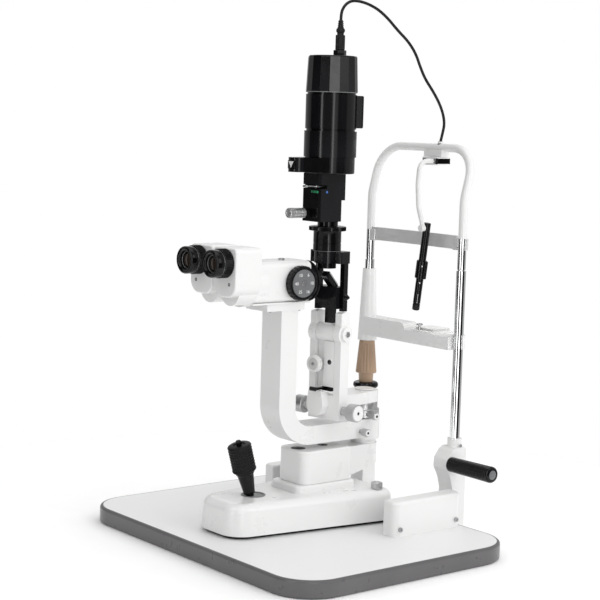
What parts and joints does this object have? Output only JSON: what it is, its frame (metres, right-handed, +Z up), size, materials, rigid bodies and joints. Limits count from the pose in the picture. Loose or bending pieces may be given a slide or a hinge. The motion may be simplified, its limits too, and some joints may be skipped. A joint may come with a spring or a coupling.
{
  "type": "slit lamp",
  "caption": "Examination microscope with binocular eyepieces and a tilting slit projector on swinging arms, on a joystick base, with a chin and forehead rest on a table top.",
  "frame": {"origin": "middle of the table top's underside, on the surface the table rests on", "axes": "+Z up, +X to the operator's right, +Y from the operator towards the patient; the microscope looks along +Y"},
  "size_m": [0.55, 0.4746, 0.8163],
  "materials": {
    "laminate": "satin",
    "edge_band": "satin",
    "white_paint": "gloss",
    "white_plastic": "gloss",
    "black_paint": "gloss",
    "black_plastic": "gloss",
    "black_matte": "matte",
    "steel": "satin",
    "chrome": "polished",
    "satin_alu": "satin",
    "tan_plastic": "satin",
    "brass": "satin",
    "glass": "clear",
    "mirror": "polished",
    "cord_rubber": "matte",
    "pad": "matte"
  },
  "bodies": {
    "table": {"table_top": "laminate", "table_edge_band": "edge_band", "rail_racks": "steel", "rail_covers": "white_plastic", "cover_screws": "steel", "column_holders": "white_paint", "head_columns": "chrome", "head_arch": "white_paint", "forehead_band": "satin_alu", "hand_grips": "black_plastic", "fixation_saddle": "white_plastic", "lamp_cord": "cord_rubber"},
    "carriage": {"axle_guide_shoes": "black_matte"},
    "axle": {"cross_axle": "steel"},
    "base": {"base_housing": "white_paint", "base_glide_plate": "black_matte", "lift_column": "steel"},
    "lift_nut": {"lift_nut_gear": "brass"},
    "base_lock": {"base_lock_knob": "satin_alu"},
    "stick_gimbal": {"joystick_gimbal": "steel"},
    "stick": {"joystick_stick": "black_plastic"},
    "stick_grip": {"joystick_grip": "black_matte"},
    "stick_button": {"joystick_button": "black_plastic"},
    "lift": {"lift_housing": "white_paint", "lift_screw": "steel", "arm_spindle": "steel"},
    "microscope": {"microscope_arm": "white_paint", "microscope_body": "white_paint", "objective_barrel": "black_paint", "scale_drum": "satin_alu"},
    "microscope_lock": {"microscope_arm_knob": "satin_alu"},
    "drum": {"magnification_drum": "black_plastic"},
    "prism_right": {"prism_box_right": "white_paint"},
    "prism_left": {"prism_box_left": "white_paint"},
    "eye_right": {"eyepiece_right": "black_plastic"},
    "eye_left": {"eyepiece_left": "black_plastic"},
    "lamp_arm": {"lamp_arm": "white_paint"},
    "lamp_lock": {"lamp_arm_knob": "satin_alu"},
    "slit_shaft": {"slit_width_shaft": "satin_alu"},
    "tilt_knob": {"tilt_clamp_knob": "satin_alu"},
    "tower": {"tilt_lever": "white_paint", "mirror_holder": "black_paint", "mirror": "mirror", "lens_collar": "black_paint", "lens_barrel": "black_paint"},
    "latch": {"tilt_latch": "black_plastic"},
    "lamp_head": {"slit_head": "black_paint", "aperture_housing": "black_paint", "lamp_house": "black_paint", "lamp_cap": "black_paint", "lamp_bulb": "glass", "lamp_plug": "black_plastic"},
    "aperture_wheel": {"aperture_knob": "satin_alu"},
    "filter": {"filter_lever": "satin_alu"},
    "jaw": {"slit_jaw": "steel"},
    "chin": {"chin_bracket": "white_paint", "chin_pad": "pad"},
    "chin_knob": {"chin_height_knob": "tan_plastic"},
    "fixation": {"fixation_gooseneck": "white_plastic"},
    "fixation_target": {"fixation_rod": "black_plastic"}
  },
  "joints": [
    {"name": "base_in_out", "type": "slide", "parent": "table", "child": "carriage", "axis": [0, 1, 0], "range_m": [-0.035, 0.04]},
    {"name": "axle_roll", "type": "hinge", "parent": "carriage", "child": "axle", "pos_m": [0, 0.116, 0.04333], "axis": [1, 0, 0], "range_deg": [-181, 159]},
    {"name": "base_sideways", "type": "slide", "parent": "carriage", "child": "base", "axis": [1, 0, 0], "range_m": [-0.045, 0.045]},
    {"name": "lift_height", "type": "slide", "parent": "base", "child": "lift", "axis": [0, 0, 1], "range_m": [0, 0.03]},
    {"name": "lift_nut_turn", "type": "hinge", "parent": "base", "child": "lift_nut", "pos_m": [0, 0.034, 0.06], "axis": [0, 0, 1], "range_deg": [-1801, 1]},
    {"name": "base_lock_turn", "type": "hinge", "parent": "base", "child": "base_lock", "pos_m": [0.068, 0.106, 0.08], "axis": [0, 0, 1], "range_deg": [-90, 0]},
    {"name": "stick_in_out", "type": "hinge", "parent": "base", "child": "stick_gimbal", "pos_m": [0, -0.0795, 0.056], "axis": [1, 0, 0], "range_deg": [-33, 1]},
    {"name": "stick_sideways", "type": "hinge", "parent": "stick_gimbal", "child": "stick", "pos_m": [0, -0.0795, 0.056], "axis": [0, 0.9613, 0.2756], "range_deg": [-10, 10]},
    {"name": "stick_twist", "type": "hinge", "parent": "stick", "child": "stick_grip", "pos_m": [0, -0.0795, 0.056], "axis": [0, -0.2756, 0.9613], "range_deg": [-1, 1801]},
    {"name": "stick_button_press", "type": "slide", "parent": "stick_grip", "child": "stick_button", "axis": [0, 0.2756, -0.9613], "range_m": [0, 0.003], "stiffness_N_per_m": 300, "springref_m": -0.001},
    {"name": "microscope_swing", "type": "hinge", "parent": "lift", "child": "microscope", "pos_m": [0, 0.134, 0.16], "axis": [0, 0, 1], "range_deg": [-90, 90]},
    {"name": "microscope_lock_turn", "type": "hinge", "parent": "microscope", "child": "microscope_lock", "pos_m": [0.03, 0.109, 0.158], "axis": [1, 0, 0], "range_deg": [0, 90]},
    {"name": "magnification_turn", "type": "hinge", "parent": "microscope", "child": "drum", "pos_m": [0.03, -0.027, 0.396], "axis": [1, 0, 0], "continuous": true},
    {"name": "prism_right_turn", "type": "hinge", "parent": "microscope", "child": "prism_right", "pos_m": [0.025, -0.13, 0.391], "axis": [0, 1, 0], "range_deg": [0, 8]},
    {"name": "prism_left_turn", "type": "hinge", "parent": "microscope", "child": "prism_left", "pos_m": [-0.025, -0.13, 0.391], "axis": [0, -1, 0], "range_deg": [0, 8]},
    {"name": "eye_right_focus", "type": "hinge", "parent": "prism_right", "child": "eye_right", "pos_m": [0.032, -0.17, 0.43], "axis": [0, 1, 0], "range_deg": [-60, 60]},
    {"name": "eye_left_focus", "type": "hinge", "parent": "prism_left", "child": "eye_left", "pos_m": [-0.032, -0.17, 0.43], "axis": [0, 1, 0], "range_deg": [-60, 60]},
    {"name": "lamp_swing", "type": "hinge", "parent": "lift", "child": "lamp_arm", "pos_m": [0, 0.134, 0.21], "axis": [0, 0, 1], "range_deg": [-100, 80], "deforming": ["lamp_cord"]},
    {"name": "lamp_lock_turn", "type": "hinge", "parent": "microscope", "child": "lamp_lock", "pos_m": [0.03, 0.124, 0.183], "axis": [1, 0, 0], "range_deg": [0, 90]},
    {"name": "slit_width_turn", "type": "hinge", "parent": "lamp_arm", "child": "slit_shaft", "pos_m": [0.01528, 0.04734, 0.199], "axis": [0.9848, 0.1736, 0], "range_deg": [0, 300]},
    {"name": "tilt_clamp_turn", "type": "hinge", "parent": "tower", "child": "tilt_knob", "pos_m": [0.00578, 0.02637, 0.268], "axis": [-0.1736, 0.9848, 0], "range_deg": [0, 90]},
    {"name": "lamp_tilt", "type": "hinge", "parent": "lamp_arm", "child": "tower", "pos_m": [0.01528, 0.04734, 0.316], "axis": [-0.9848, -0.1736, 0], "range_deg": [0, 15]},
    {"name": "latch_pull", "type": "slide", "parent": "tower", "child": "latch", "axis": [0.1736, -0.9848, 0], "range_m": [0, 0.003], "stiffness_N_per_m": 300, "springref_m": -0.001},
    {"name": "slit_turn", "type": "hinge", "parent": "tower", "child": "lamp_head", "pos_m": [0.01754, 0.03453, 0.5], "axis": [0, 0, -1], "range_deg": [-90, 90]},
    {"name": "aperture_turn", "type": "hinge", "parent": "lamp_head", "child": "aperture_wheel", "pos_m": [0.009, 0, 0.498], "axis": [0, 1, 0], "range_deg": [0, 180]},
    {"name": "filter_turn", "type": "hinge", "parent": "lamp_head", "child": "filter", "pos_m": [0.0123, 0.0145, 0.537], "axis": [0, 0, 1], "range_deg": [-12, 12]},
    {"name": "slit_jaw_move", "type": "slide", "parent": "lamp_head", "child": "jaw", "axis": [1, 0, 0], "range_m": [0, 0.005]},
    {"name": "chin_height", "type": "slide", "parent": "table", "child": "chin", "axis": [0, 0, 1], "range_m": [-0.03, 0.02]},
    {"name": "chin_knob_turn", "type": "hinge", "parent": "chin", "child": "chin_knob", "pos_m": [-0.107, 0.23, 0.25], "axis": [0, 0, 1], "range_deg": [-901, 601]},
    {"name": "fixation_swivel", "type": "hinge", "parent": "table", "child": "fixation", "pos_m": [0.021, 0.25, 0.577], "axis": [0, 0, 1], "range_deg": [-60, 0]},
    {"name": "fixation_rod_turn", "type": "hinge", "parent": "fixation", "child": "fixation_target", "pos_m": [0.042, 0.215, 0.473], "axis": [0, 1, 0], "range_deg": [-40, 40]}
  ],
  "couplings": [
    {"joint": "axle_roll", "follows": "base_in_out", "rad_per_m": -78.54},
    {"joint": "lift_nut_turn", "follows": "lift_height", "rad_per_m": -1047.2},
    {"joint": "stick_twist", "follows": "lift_height", "rad_per_m": 1047.2},
    {"joint": "prism_left_turn", "follows": "prism_right_turn", "ratio": 1},
    {"joint": "slit_jaw_move", "follows": "slit_width_turn", "m_per_rad": 0.000954},
    {"joint": "chin_knob_turn", "follows": "chin_height", "rad_per_m": 523.6}
  ]
}
